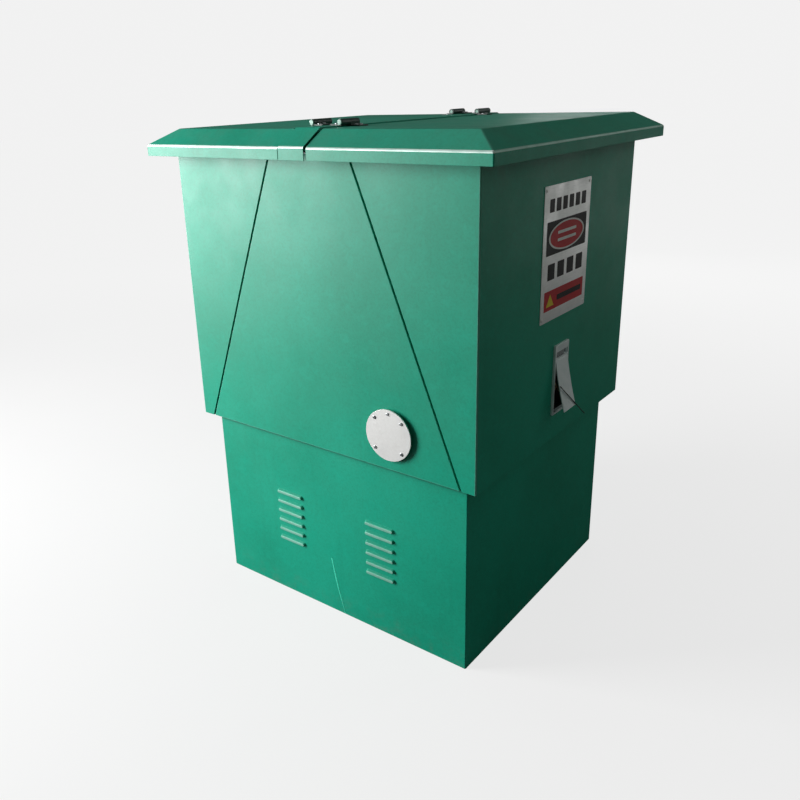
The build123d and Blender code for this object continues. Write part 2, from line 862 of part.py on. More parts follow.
with BuildPart() as cam:
    with BuildSketch(Plane.YZ.offset(cam_inner_x)):
        with Locations((cam_length / 2 - 6, cylinder_z)):
            SlotOverall(cam_length + 12, 18)
        with Locations((0, cylinder_z)):
            Circle(spindle_radius + 0.02, mode=Mode.SUBTRACT)
    extrude(amount=cam_thickness)
write_pair(cam.part, "latch_cam")

key_depth = 5.0

with BuildPart() as key:
    with BuildSketch(Plane.XZ.offset(-0.6)):
        with Locations((plug_face - key_depth, cylinder_z)):
            Rectangle(key_depth + 10, 6.0, align=(Align.MIN, Align.CENTER))
        with Locations((plug_face + 14, cylinder_z)):
            Ellipse(8, 11)
        with Locations((plug_face + 15, cylinder_z - 6)):
            Circle(2.5, mode=Mode.SUBTRACT)
    extrude(amount=1.2)
write_step(key.part, "right_key")

with BuildPart() as keepers:
    with BuildSketch(Plane.XZ.offset(-20)):
        with BuildLine():
            Polyline(
                (half_plinth_x - angle_wall, floor_top),
                (half_plinth_x - angle_wall, sill_top + 6),
                (cam_outer_x + 5, sill_top + 6),
                (cam_outer_x + 5, cylinder_z - 16),
                (cam_outer_x + 2, cylinder_z - 16),
                (cam_outer_x + 2, sill_top + 9),
                (half_plinth_x - angle_wall - 3, sill_top + 9),
                (half_plinth_x - angle_wall - 3, floor_top),
                close=True,
            )
        make_face()
    extrude(amount=40)
    mirror(about=Plane.YZ)
write_step(keepers.part, "latch_keepers")

# ---- nylon tie that hangs out over the right flap
tie_radius = 1.2
turn = radians(flap_stand_angle)


def on_flap(across, down, lift):
    """A point on the standing flap's outer face, down from its pivot and lifted off the face."""
    reach = 3.6 + lift
    x = flap_pivot_x + reach * cos(turn) + down * sin(turn)
    z = flap_pivot_z + reach * sin(turn) - down * cos(turn)
    return Vector(x, across, z)


tie_start = on_flap(-flap_half_width - 1.5, 64.0, tie_radius + 0.1)
tie_end = on_flap(flap_half_width + 38.0, 168.0, tie_radius + 0.1)

with BuildPart() as tie:
    with BuildSketch(Plane(origin=tie_start, z_dir=tie_end - tie_start)):
        Circle(tie_radius)
    extrude(amount=(tie_end - tie_start).length)
write_step(tie.part, "right_key_tie")

# ======================================================================== gas struts

strut_direction = Vector(cos(strut_angle), 0, sin(strut_angle))


def along_strut(side, start):
    """Plane square to a right-hand strut at one end of the box, at a distance from its foot."""
    foot = Vector(strut_foot[0], side * strut_y, strut_foot[1])
    return Plane(origin=foot + strut_direction * start, z_dir=strut_direction)


def cross_pin(side, place, radius, start, end):
    """A round bar along Y at one end of the box, between two distances from the middle."""
    with BuildPart() as bar:
        with BuildSketch(Plane(origin=(place[0], side * start, place[1]), z_dir=(0, side, 0))):
            Circle(radius)
        extrude(amount=end - start)
    return bar.part


with BuildPart() as strut_anchors:
    for side in (-1, 1):
        eye_in = strut_y - strut_eye_half
        eye_out = strut_y + strut_eye_half
        add(cross_pin(side, strut_foot, 10.0, eye_out + fit_gap, half_body_y - sheet))
        add(cross_pin(side, strut_foot, pin_radius, eye_in - fit_gap, eye_out + fit_gap))
        add(cross_pin(side, strut_foot, 6.5, eye_in - fit_gap - 3, eye_in - fit_gap))
    mirror(about=Plane.YZ)
write_step(strut_anchors.part, "strut_anchors")

with BuildPart() as strut_tubes:
    for side in (-1, 1):
        add(cross_pin(side, strut_foot, 9.0, strut_y - strut_eye_half, strut_y + strut_eye_half))
        with BuildSketch(along_strut(side, 0)):
            Circle(5.0)
        extrude(amount=22)
        with BuildSketch(along_strut(side, 20)):
            Circle(strut_tube_radius)
        extrude(amount=strut_tube_end - 20)
        with BuildSketch(along_strut(side, 24)):
            Circle(strut_tube_radius - 2)
        extrude(amount=strut_tube_end - 24 - 8, mode=Mode.SUBTRACT)
        with BuildSketch(along_strut(side, strut_tube_end - 9)):
            Circle(strut_rod_radius + running_gap)
        extrude(amount=10, mode=Mode.SUBTRACT)
        hole = cross_pin(side, strut_foot, pin_radius + running_gap, strut_y - 20, strut_y + 20)
        add(hole, mode=Mode.SUBTRACT)
write_pair(strut_tubes.part, "strut_tubes")

with BuildPart() as strut_rods:
    for side in (-1, 1):
        with BuildSketch(along_strut(side, 60)):
            Circle(strut_rod_radius)
        extrude(amount=strut_length - 60)
        with BuildSketch(along_strut(side, 60)):
            Circle(strut_tube_radius - 2 - running_gap)
        extrude(amount=12)
        add(cross_pin(side, strut_head, 9.0, strut_y - strut_eye_half, strut_y + strut_eye_half))
        stud_end = strut_bracket_face - fit_gap
        add(cross_pin(side, strut_head, pin_radius, strut_y, stud_end))
write_pair(strut_rods.part, "strut_rods")

# ======================================================================== bushings and connectors

plate_half = plate_thickness / 2
plate_half_width = half_plinth_y - 32.0
bushing_hole = 46.0

bushing_bolt_circle = 54.0
bushing_bolt_radius = 3.0
flange_thickness = 12.0
bolt_drill = Cylinder(bushing_bolt_radius + fit_gap, 4 * flange_thickness)
bushing_bolt_places = [
    Plane.YZ.offset(plate_half + flange_thickness).location
    * Pos(
        centre_y + bushing_bolt_circle * cos(radians(turn_angle)),
        bushing_z + bushing_bolt_circle * sin(radians(turn_angle)),
        0,
    )
    for centre_y in phase_y
    for turn_angle in (45, 135, 225, 315)
]

with BuildPart() as bushing_plate:
    with Locations((0, 0, (floor_top + gutter_bottom) / 2)):
        Box(plate_thickness, 2 * plate_half_width, gutter_bottom - floor_top)
    for centre_y in phase_y:
        with Locations((0, centre_y, bushing_z)):
            Cylinder(bushing_hole, 4 * plate_thickness, rotation=(0, 90, 0), mode=Mode.SUBTRACT)
    for place in bushing_bolt_places:
        add(place * bolt_drill, mode=Mode.SUBTRACT)
write_step(bushing_plate.part, "bushing_plate")

bracket_wall = 4.0
bracket_heights = (body_bottom + 153.0, gutter_bottom - 108.0)
bracket_start = plate_half_width - 25.0  # the brackets lap the plate by this last stretch

with BuildPart() as plate_brackets:
    for side in (-1, 1):
        for height in bracket_heights:
            panel_face = half_body_y - sheet
            with Locations((plate_half, side * (panel_face + bracket_start) / 2, height)):
                Box(
                    bracket_wall,
                    panel_face - bracket_start,
                    60,
                    align=(Align.MIN, Align.CENTER, Align.CENTER),
                )
            with Locations((plate_half, side * (panel_face - bracket_wall / 2), height)):
                Box(40, bracket_wall, 60, align=(Align.MIN, Align.CENTER, Align.CENTER))
write_step(plate_brackets.part, "plate_brackets")

cone_base = 42.0
cone_tip = 27.0
cone_reach = 130.0
contact_reach = 150.0
flange_radius = 64.0

with BuildPart() as bushing:
    with BuildSketch(Plane.XZ):
        with BuildLine():
            Polyline(
                (-contact_reach, 0),
                (-contact_reach, 8),
                (-cone_reach, 8),
                (-cone_reach, cone_tip),
                (-plate_half - 8, cone_base),
                (plate_half, cone_base),
                (plate_half, flange_radius),
                (plate_half + flange_thickness, flange_radius),
                (plate_half + flange_thickness, cone_base),
                (cone_reach, cone_tip),
                (cone_reach, 8),
                (contact_reach, 8),
                (contact_reach, 0),
                close=True,
            )
        make_face()
    revolve(axis=Axis.X)

with BuildPart() as bushings:
    for centre_y in phase_y:
        add(Pos(0, centre_y, bushing_z) * bushing.part)
    for place in bushing_bolt_places:
        add(place * bolt_drill, mode=Mode.SUBTRACT)
write_step(bushings.part, "through_bushings")

with BuildPart() as bushing_bolts:
    for place in bushing_bolt_places:
        add(place * screw(7.0, 6.0, bushing_bolt_radius, flange_thickness + plate_thickness + 5))
write_step(bushing_bolts.part, "bushing_bolts")

sleeve_start = plate_half + flange_thickness + 6
sleeve_end = cable_x + 44
sleeve_radius = 46.0
cone_slope = (cone_base - cone_tip) / (cone_reach - plate_half - flange_thickness)

with BuildPart() as connector:
    with BuildSketch(Plane.YZ.offset(sleeve_start)):
        Circle(sleeve_radius + 3)
    with BuildSketch(Plane.YZ.offset(sleeve_start + 60)):
        Circle(sleeve_radius - 4)
    with BuildSketch(Plane.YZ.offset(sleeve_end)):
        Circle(sleeve_radius - 8)
    loft(ruled=True)
    leg_drop = bushing_z - connector_foot_z
    with BuildSketch(Plane(origin=(cable_x, 0, -leg_drop), x_dir=(1, 0, 0), z_dir=(0, 0, 1))):
        Circle(cable_bore + 9)
    with BuildSketch(Plane(origin=(cable_x, 0, -20), x_dir=(1, 0, 0), z_dir=(0, 0, 1))):
        Circle(34)
    loft()
    mouth = cone_base - cone_slope * (sleeve_start - plate_half - flange_thickness)
    with BuildSketch(Plane.YZ.offset(sleeve_start)):
        Circle(mouth + fit_gap)
    with BuildSketch(Plane.YZ.offset(cone_reach)):
        Circle(cone_tip + fit_gap)
    loft(mode=Mode.SUBTRACT)
    with BuildSketch(Plane.YZ.offset(cone_reach)):
        Circle(20)
    extrude(amount=sleeve_end - cone_reach, mode=Mode.SUBTRACT)
    with BuildSketch(Plane.XY.offset(-leg_drop)):
        with Locations((cable_x, 0)):
            Circle(cable_bore)
    extrude(amount=cable_bore_depth, mode=Mode.SUBTRACT)

with BuildPart() as connectors:
    for centre_y in phase_y:
        add(Pos(0, centre_y, bushing_z) * connector.part)
write_pair(connectors.part, "cable_connectors")

with BuildPart() as end_plugs:
    plug_tip = contact_reach + 4
    for centre_y in phase_y:
        with BuildSketch(Plane(origin=(plug_tip, centre_y, bushing_z), z_dir=(1, 0, 0))):
            Circle(20 - fit_gap)
        extrude(amount=sleeve_end - plug_tip)
        with BuildSketch(Plane(origin=(sleeve_end, centre_y, bushing_z), z_dir=(1, 0, 0))):
            RegularPolygon(26, 6)
        extrude(amount=14)
    mirror(about=Plane.YZ)
write_step(end_plugs.part, "connector_end_plugs")

# ======================================================================== cable rails and clamps

rail_height = 40.0
rail_thickness = 14.0

with BuildPart() as rails:
    with Locations((rail_x, 0, rail_z)):
        Box(rail_thickness, 2 * rail_half_length, rail_height, align=(Align.MIN, Align.CENTER, Align.CENTER))
    with Locations((rail_x + sheet, 0, rail_z)):
        Box(
            rail_thickness,
            2 * rail_half_length,
            rail_height - 2 * sheet,
            align=(Align.MIN, Align.CENTER, Align.CENTER),
            mode=Mode.SUBTRACT,
        )
    for side in (-1, 1):
        with Locations((rail_x, side * (rail_half_length - 20), floor_top)):
            Box(
                sheet,
                40,
                rail_z + rail_height / 2 - floor_top,
                align=(Align.MIN, Align.CENTER, Align.MIN),
            )
            Box(40, 40, sheet, align=(Align.MIN, Align.CENTER, Align.MIN))
    mirror(about=Plane.YZ)
write_step(rails.part, "cable_rails")

with BuildPart() as clamps:
    for centre_y in phase_y:
        with BuildSketch(Plane.XY.offset(rail_z - 15)):
            with Locations((cable_x, centre_y)):
                Circle(cable_bore + 12)
            with Locations((rail_x, centre_y)):
                Rectangle(20, 50, align=(Align.MAX, Align.CENTER))
            with Locations((cable_x, centre_y)):
                Circle(cable_bore + 1, mode=Mode.SUBTRACT)
                Rectangle(80, 3, align=(Align.MAX, Align.CENTER), mode=Mode.SUBTRACT)
        extrude(amount=30)
    mirror(about=Plane.YZ)
write_step(clamps.part, "cable_clamps")

# ======================================================================== earth bar

earth_x = half_plinth_x - 93.0
earth_half_length = 210.0
earth_width = 40.0
earth_thickness = 5.0
insulator_height = 40.0
earth_bottom = floor_top + insulator_height

with BuildPart() as earth_bar:
    with Locations((earth_x, 0, earth_bottom + earth_thickness / 2)):
        Box(earth_width, 2 * earth_half_length, earth_thickness)
write_step(earth_bar.part, "earth_bar")

with BuildPart() as insulators:
    for side in (-1, 1):
        with BuildSketch(Plane.XY.offset(floor_top)):
            with Locations((earth_x, side * 170)):
                Circle(16)
        extrude(amount=insulator_height)
write_step(insulators.part, "earth_insulators")

with BuildPart() as earth_bolts:
    for centre_y in (-120, -60, 0, 60, 120):
        with BuildSketch(Plane.XY.offset(earth_bottom + earth_thickness)):
            with Locations((earth_x, centre_y)):
                RegularPolygon(10, 6)
        extrude(amount=7)
write_step(earth_bolts.part, "earth_bolts")
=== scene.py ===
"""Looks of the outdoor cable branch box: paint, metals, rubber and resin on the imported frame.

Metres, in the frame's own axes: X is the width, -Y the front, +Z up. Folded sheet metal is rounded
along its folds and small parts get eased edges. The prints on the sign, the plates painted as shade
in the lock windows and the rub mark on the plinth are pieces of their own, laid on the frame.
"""

import json
from math import cos, pi, radians, sin

import bmesh
import bpy
from mathutils import Matrix, Vector

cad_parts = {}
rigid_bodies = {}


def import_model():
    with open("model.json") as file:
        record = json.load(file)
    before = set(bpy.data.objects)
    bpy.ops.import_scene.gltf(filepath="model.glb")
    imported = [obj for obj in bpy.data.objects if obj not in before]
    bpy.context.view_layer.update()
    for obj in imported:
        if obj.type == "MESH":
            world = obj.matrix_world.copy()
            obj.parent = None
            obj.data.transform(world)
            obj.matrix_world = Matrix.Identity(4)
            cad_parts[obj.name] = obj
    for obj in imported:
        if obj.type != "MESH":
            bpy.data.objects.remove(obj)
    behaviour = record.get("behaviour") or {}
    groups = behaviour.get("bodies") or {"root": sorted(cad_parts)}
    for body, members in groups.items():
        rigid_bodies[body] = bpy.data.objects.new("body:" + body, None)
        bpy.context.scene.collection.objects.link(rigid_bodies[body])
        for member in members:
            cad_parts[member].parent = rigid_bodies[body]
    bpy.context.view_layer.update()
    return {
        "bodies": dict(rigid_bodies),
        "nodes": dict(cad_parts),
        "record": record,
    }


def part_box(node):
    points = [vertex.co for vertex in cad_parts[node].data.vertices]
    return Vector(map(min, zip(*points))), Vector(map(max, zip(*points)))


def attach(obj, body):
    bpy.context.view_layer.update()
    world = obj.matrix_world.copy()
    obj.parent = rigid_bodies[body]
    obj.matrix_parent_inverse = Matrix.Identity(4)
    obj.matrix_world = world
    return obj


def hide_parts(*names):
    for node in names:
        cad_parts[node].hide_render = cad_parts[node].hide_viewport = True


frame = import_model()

nodes = frame["nodes"]
record = frame["record"]
body_of_node = {
    node: body for body in frame["bodies"] for node in record["behaviour"]["bodies"][body]
}
slot_of_node = {part["node"]: part["material_slot"] for part in record["subparts"]}

mm = 0.001
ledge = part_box("front_panel")[0].z  # underside of the doors and end panels, which overhang the plinth
door_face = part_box("right_door_shell")[1].x


# ============================================================================ materials


class Finish:
    """A material being built: each method adds nodes and returns the output that carries the result."""

    def __init__(self, name, roughness, metallic=0.0, **values):
        self.material = bpy.data.materials.new(name)
        self.material.use_nodes = True
        self.tree = self.material.node_tree
        self.shader = self.tree.nodes["Principled BSDF"]
        self.shader.inputs["Metallic"].default_value = metallic
        self.shader.inputs["Roughness"].default_value = roughness
        for key, value in values.items():
            self.shader.inputs[key.replace("_", " ")].default_value = value
        coordinates = self.tree.nodes.new("ShaderNodeTexCoord")
        self.place = coordinates.outputs["Object"]
        self.facing = coordinates.outputs["Normal"]

    def connect(self, value, socket):
        """Link an output to a socket, or set the socket to a plain value."""
        if isinstance(value, bpy.types.NodeSocket):
            self.tree.links.new(value, socket)
        else:
            socket.default_value = value

    def math(self, operation, first, second=0.0):
        """One sum, product or other operation on two values."""
        node = self.tree.nodes.new("ShaderNodeMath")
        node.operation = operation
        self.connect(first, node.inputs[0])
        self.connect(second, node.inputs[1])
        return node.outputs["Value"]

    def stretched(self, scale):
        """Object coordinates multiplied along each axis."""
        node = self.tree.nodes.new("ShaderNodeMapping")
        self.connect(self.place, node.inputs["Vector"])
        node.inputs["Scale"].default_value = scale
        return node.outputs["Vector"]

    def noise(self, size, detail=2.0, rough=0.5, stretch=(1, 1, 1), seed=0.0):
        """Smooth noise from 0 to 1 whose features are about a size in metres."""
        node = self.tree.nodes.new("ShaderNodeTexNoise")
        node.noise_dimensions = "4D"
        self.connect(self.stretched(stretch), node.inputs["Vector"])
        node.inputs["W"].default_value = seed
        node.inputs["Scale"].default_value = 1 / size
        node.inputs["Detail"].default_value = detail
        node.inputs["Roughness"].default_value = rough
        return node.outputs["Fac"]

    def cells(self, size):
        """A random colour for each of many cells about a size in metres."""
        node = self.tree.nodes.new("ShaderNodeTexVoronoi")
        self.connect(self.place, node.inputs["Vector"])
        node.inputs["Scale"].default_value = 1 / size
        return node.outputs["Color"]

    def ramp(self, value, low, high, start=0.0, end=1.0):
        """Smooth step of a value between two limits, mapped to start and end."""
        node = self.tree.nodes.new("ShaderNodeMapRange")
        node.interpolation_type = "SMOOTHSTEP"
        self.connect(value, node.inputs["Value"])
        node.inputs["From Min"].default_value = low
        node.inputs["From Max"].default_value = high
        node.inputs["To Min"].default_value = start
        node.inputs["To Max"].default_value = end
        return node.outputs["Result"]

    def axis(self, vector, name):
        """One part, X, Y or Z, of a vector."""
        node = self.tree.nodes.new("ShaderNodeSeparateXYZ")
        self.connect(vector, node.inputs["Vector"])
        return node.outputs[name]

    def attribute(self, name):
        """A value stored on the mesh's faces."""
        node = self.tree.nodes.new("ShaderNodeAttribute")
        node.attribute_name = name
        return node.outputs["Fac"]

    def mix(self, factor, first, second):
        """Colour between two colours."""
        node = self.tree.nodes.new("ShaderNodeMix")
        node.data_type = "RGBA"
        self.connect(factor, node.inputs["Factor"])
        self.connect(first, node.inputs["A"])
        self.connect(second, node.inputs["B"])
        return node.outputs["Result"]

    def bump(self, height, depth, below=None):
        """Raise the surface by a height pattern of a depth in metres, over an earlier bump."""
        node = self.tree.nodes.new("ShaderNodeBump")
        node.inputs["Distance"].default_value = depth
        self.connect(height, node.inputs["Height"])
        if below is not None:
            self.connect(below, node.inputs["Normal"])
        return node.outputs["Normal"]

    def finish(self, colour=None, roughness=None, normal=None, metallic=None):
        """Connect the results to the shader and return the material."""
        for value, name in (
            (colour, "Base Color"),
            (roughness, "Roughness"),
            (normal, "Normal"),
            (metallic, "Metallic"),
        ):
            if value is not None:
                self.connect(value, self.shader.inputs[name])
        return self.material


def colour(red, green, blue):
    return (red, green, blue, 1.0)


def green_paint():
    """Teal-green powder coat with orange peel, fading, rain marks, dust, and a painted highlight along
    the folds.

    A painted shadow darkens the plinth just below the overhanging ledge.
    """
    paint = Finish("green_powder_coat", 0.47, IOR=1.46)
    height = paint.axis(paint.place, "Z")
    fading = paint.noise(0.45, detail=3, rough=0.55)
    tone = paint.mix(paint.ramp(fading, 0.3, 0.7), colour(0.001, 0.29, 0.178), colour(0.002, 0.36, 0.23))
    mottle = paint.noise(28 * mm, detail=4, rough=0.65, seed=1.3)
    tone = paint.mix(paint.ramp(mottle, 0.45, 0.75, 0.0, 0.3), tone, colour(0.002, 0.41, 0.27))
    rain = paint.noise(50 * mm, detail=4, rough=0.6, stretch=(1, 1, 0.06), seed=4.0)
    tone = paint.mix(paint.ramp(rain, 0.56, 0.78, 0.0, 0.25), tone, colour(0.001, 0.21, 0.125))
    grain = paint.noise(4.5 * mm, detail=3, rough=0.7, seed=11.0)
    tone = paint.mix(paint.ramp(grain, 0.42, 0.66, 0.0, 0.22), tone, colour(0.001, 0.14, 0.08))
    speck = paint.noise(2.2 * mm, detail=2, rough=0.7, seed=9.0)
    grains = paint.noise(0.35, detail=2, seed=6.0)
    specks = paint.math("MULTIPLY", paint.ramp(speck, 0.69, 0.75), paint.ramp(grains, 0.45, 0.7))
    tone = paint.mix(paint.math("MULTIPLY", specks, 0.5), tone, colour(0.34, 0.42, 0.36))
    up = paint.ramp(paint.axis(paint.facing, "Z"), 0.55, 0.95)
    dust_cloud = paint.noise(90 * mm, detail=6, rough=0.65, seed=2.0)
    dust = paint.math("MULTIPLY", up, paint.ramp(dust_cloud, 0.4, 0.85, 0.02, 0.28))
    tone = paint.mix(dust, tone, colour(0.16, 0.19, 0.16))
    splash_cloud = paint.noise(30 * mm, detail=6, rough=0.7, seed=3.0)
    splash_height = paint.ramp(height, 0.0, 0.09, 1.0, 0.0)
    splash = paint.math("MULTIPLY", splash_height, paint.ramp(splash_cloud, 0.45, 0.8, 0.0, 0.3))
    tone = paint.mix(splash, tone, colour(0.17, 0.2, 0.16))
    # painted shadow: a dark band on the plinth just below the ledge, where the overhang shades it
    below = paint.ramp(height, ledge - 22 * mm, ledge - 12 * mm)
    above = paint.ramp(height, ledge - 3 * mm, ledge, 1.0, 0.0)
    painted_ledge_shadow = paint.math("MULTIPLY", below, above)
    tone = paint.mix(paint.math("MULTIPLY", painted_ledge_shadow, 0.85), tone, colour(0.002, 0.05, 0.035))
    chipping = paint.noise(12 * mm, detail=5, rough=0.7, seed=5.0)
    chips = paint.math("MULTIPLY", paint.attribute("edge"), paint.ramp(chipping, 0.66, 0.74, 0.0, 0.7))
    tone = paint.mix(chips, tone, colour(0.16, 0.3, 0.25))
    # painted highlight: faces marked as folds or hood crests turn pale and a little metallic, standing
    # for the light they catch
    painted_fold_highlight = paint.math("MULTIPLY", paint.attribute("fold"), paint.ramp(mottle, 0.25, 0.6, 0.75, 1.0))
    tone = paint.mix(painted_fold_highlight, tone, colour(0.72, 0.88, 0.82))
    peel = paint.noise(3.5 * mm, detail=2, rough=0.45, seed=7.0)
    sag = paint.noise(0.3, detail=1, rough=0.4, seed=8.0)
    normal = paint.bump(peel, 0.11 * mm)
    normal = paint.bump(sag, 2.2 * mm, normal)
    sheen = paint.ramp(paint.noise(0.12, detail=5, rough=0.6, seed=10.0), 0.3, 0.7, 0.43, 0.51)
    soiled = paint.math("MULTIPLY", paint.math("MAXIMUM", dust, splash), 0.4)
    roughness = paint.math("ADD", sheen, soiled)
    return paint.finish(tone, roughness, normal, paint.math("MULTIPLY", painted_fold_highlight, 0.4))


def hinge_steel():
    """Dark painted steel of the hinge barrels, rubbed bright on its edges."""
    steel = Finish("hinge_paint", 0.38)
    cloud = steel.noise(9 * mm, detail=5, rough=0.65)
    tone = steel.mix(steel.ramp(cloud, 0.35, 0.7), colour(0.012, 0.04, 0.032), colour(0.03, 0.075, 0.06))
    rub_wear_and_fold_highlight = steel.math("MULTIPLY", steel.attribute("edge"), steel.ramp(cloud, 0.42, 0.56))
    tone = steel.mix(rub_wear_and_fold_highlight, tone, colour(0.42, 0.44, 0.42))
    normal = steel.bump(steel.noise(1.5 * mm, detail=3), 0.1 * mm)
    return steel.finish(tone, steel.ramp(cloud, 0.3, 0.7, 0.3, 0.5), normal, rub_wear_and_fold_highlight)


def zinc_cast():
    """Die-cast zinc under grey lacquer: pits, worn edges, and near black where it lies deeper than the
    door's face.
    """
    zinc = Finish("grey_lacquered_zinc", 0.42, metallic=0.15)
    cloud = zinc.noise(20 * mm, detail=5, rough=0.6)
    tone = zinc.mix(zinc.ramp(cloud, 0.3, 0.7), colour(0.74, 0.86, 0.87), colour(0.84, 0.93, 0.94))
    rub_wear_and_fold_highlight = zinc.math("MULTIPLY", zinc.attribute("edge"), zinc.ramp(cloud, 0.35, 0.6, 0.2, 0.9))
    tone = zinc.mix(rub_wear_and_fold_highlight, tone, colour(0.8, 0.84, 0.84))
    # near black where the zinc lies deeper than the door's face
    reach = zinc.math("ABSOLUTE", zinc.axis(zinc.place, "X"))
    darker_behind_door_face = zinc.ramp(reach, door_face - 4 * mm, door_face - 0.5 * mm, 0.96, 0.0)
    tone = zinc.mix(darker_behind_door_face, tone, colour(0.018, 0.02, 0.02))
    pits = zinc.ramp(zinc.noise(1.2 * mm, detail=3, rough=0.6, seed=2.0), 0.25, 0.5)
    normal = zinc.bump(pits, 0.08 * mm)
    return zinc.finish(tone, zinc.ramp(cloud, 0.25, 0.75, 0.34, 0.52), normal)


def bright_steel():
    """Brushed stainless steel with fine lines and faint blotches."""
    steel = Finish("brushed_stainless_steel", 0.3, metallic=1.0)
    lines = steel.noise(1.2 * mm, detail=3, rough=0.6, stretch=(0.04, 1, 1))
    blotch = steel.noise(22 * mm, detail=5, rough=0.65, seed=3.0)
    tone = steel.mix(steel.ramp(blotch, 0.35, 0.7), colour(0.78, 0.78, 0.765), colour(0.6, 0.6, 0.585))
    tone = steel.mix(steel.ramp(lines, 0.4, 0.7, 0.0, 0.25), tone, colour(0.42, 0.42, 0.41))
    scratched = steel.math("MULTIPLY", lines, 0.08)
    shine = steel.math("ADD", steel.ramp(blotch, 0.3, 0.7, 0.27, 0.42), scratched)
    return steel.finish(tone, shine, steel.bump(lines, 0.04 * mm))


def satin_cover():
    """Sanded aluminium: matt, near white, with fine sanding marks and light soiling."""
    cover = Finish("satin_aluminium", 0.45, metallic=0.45)
    swirl = cover.noise(1.5 * mm, detail=4, rough=0.7)
    soil = cover.noise(30 * mm, detail=6, rough=0.65, seed=2.0)
    tone = cover.mix(cover.ramp(soil, 0.4, 0.75), colour(0.93, 0.93, 0.915), colour(0.78, 0.78, 0.765))
    tone = cover.mix(cover.ramp(swirl, 0.5, 0.75, 0.0, 0.3), tone, colour(0.62, 0.62, 0.6))
    return cover.finish(tone, cover.ramp(soil, 0.3, 0.7, 0.38, 0.52), cover.bump(swirl, 0.05 * mm))


def lit_pin_paint():
    """Green paint on the pin ends, painted pale as if brightly lit from the front."""
    enamel = Finish("painted_lit_pin_green", 0.35)
    # painted light: the pale green stands for the body's green paint where the front light falls
    # strongly on it
    cloud = enamel.noise(6 * mm, detail=4, rough=0.6)
    tone = enamel.mix(enamel.ramp(cloud, 0.35, 0.7), colour(0.4, 0.62, 0.53), colour(0.24, 0.45, 0.37))
    return enamel.finish(tone, enamel.ramp(cloud, 0.3, 0.7, 0.28, 0.45), enamel.bump(cloud, 0.1 * mm))


def pale_smear():
    """Lighter green paint smeared on by a rub, broken where it is thin."""
    smear = Finish("pale_green_smear", 0.5)
    streak = smear.noise(4 * mm, detail=4, rough=0.7)
    tone = smear.mix(smear.ramp(streak, 0.4, 0.7), colour(0.07, 0.8, 0.54), colour(0.03, 0.62, 0.41))
    return smear.finish(tone, smear.ramp(streak, 0.3, 0.7, 0.42, 0.6), smear.bump(streak, 0.1 * mm))


def galvanised():
    """Hot-dip zinc: crystals of differing shine, white bloom and dull patches."""
    zinc = Finish("galvanised_steel", 0.42, metallic=1.0)
    crystal = zinc.cells(11 * mm)
    grain = zinc.axis(crystal, "X")
    tone = zinc.mix(grain, colour(0.42, 0.44, 0.46), colour(0.62, 0.64, 0.66))
    bloom = zinc.noise(50 * mm, detail=6, rough=0.65, seed=2.0)
    bloomed = zinc.ramp(bloom, 0.52, 0.75, 0.0, 0.3)
    tone = zinc.mix(bloomed, tone, colour(0.7, 0.71, 0.7))
    dulled = zinc.math("MULTIPLY", bloomed, 0.4)
    roughness = zinc.math("ADD", zinc.ramp(grain, 0.0, 1.0, 0.3, 0.46), dulled)
    fine = zinc.noise(2 * mm, detail=3, seed=5.0)
    return zinc.finish(tone, roughness, zinc.bump(fine, 0.06 * mm, zinc.bump(grain, 0.03 * mm)))


def rubber(name, dark, light):
    """Moulded rubber: matt, a little grey bloom, fine mould grain."""
    skin = Finish(name, 0.62, Specular_IOR_Level=0.35)
    bloom = skin.noise(35 * mm, detail=5, rough=0.6)
    tone = skin.mix(skin.ramp(bloom, 0.35, 0.75), dark, light)
    talc = skin.noise(6 * mm, detail=4, rough=0.7, seed=4.0)
    tone = skin.mix(skin.ramp(talc, 0.62, 0.8, 0.0, 0.25), tone, colour(0.2, 0.2, 0.195))
    normal = skin.bump(skin.noise(1.6 * mm, detail=2, seed=2.0), 0.07 * mm)
    return skin.finish(tone, skin.ramp(bloom, 0.3, 0.7, 0.52, 0.7), normal)


def resin():
    """Cast epoxy: brick red, glassy, with faint flow marks."""
    cast = Finish("cast_epoxy_resin", 0.24, Coat_Weight=0.4, Coat_Roughness=0.12)
    flow = cast.noise(50 * mm, detail=4, rough=0.5, stretch=(0.4, 1, 1))
    tone = cast.mix(cast.ramp(flow, 0.3, 0.7), colour(0.2, 0.035, 0.022), colour(0.3, 0.06, 0.036))
    return cast.finish(tone, cast.ramp(flow, 0.3, 0.7, 0.2, 0.34), cast.bump(flow, 0.5 * mm))


def soft_metal(name, bright, dull, tarnish):
    """Copper or brass: drawn lines, fingerprints and darker tarnish."""
    metal = Finish(name, 0.3, metallic=1.0)
    cloud = metal.noise(18 * mm, detail=6, rough=0.65)
    tone = metal.mix(metal.ramp(cloud, 0.35, 0.65), bright, dull)
    stain = metal.noise(50 * mm, detail=4, rough=0.7, seed=3.0)
    tone = metal.mix(metal.ramp(stain, 0.55, 0.8, 0.0, 0.7), tone, tarnish)
    lines = metal.noise(1 * mm, detail=2, stretch=(1, 0.05, 1), seed=5.0)
    return metal.finish(tone, metal.ramp(cloud, 0.3, 0.75, 0.22, 0.45), metal.bump(lines, 0.04 * mm))


def nylon():
    """Black nylon with a soft moulded sheen and rubbed grey patches."""
    strap = Finish("black_moulded_nylon", 0.4)
    rub = strap.noise(6 * mm, detail=4, rough=0.6)
    tone = strap.mix(strap.ramp(rub, 0.45, 0.75), colour(0.008, 0.008, 0.009), colour(0.03, 0.03, 0.032))
    return strap.finish(tone, strap.ramp(rub, 0.3, 0.7, 0.34, 0.52), strap.bump(rub, 0.08 * mm))


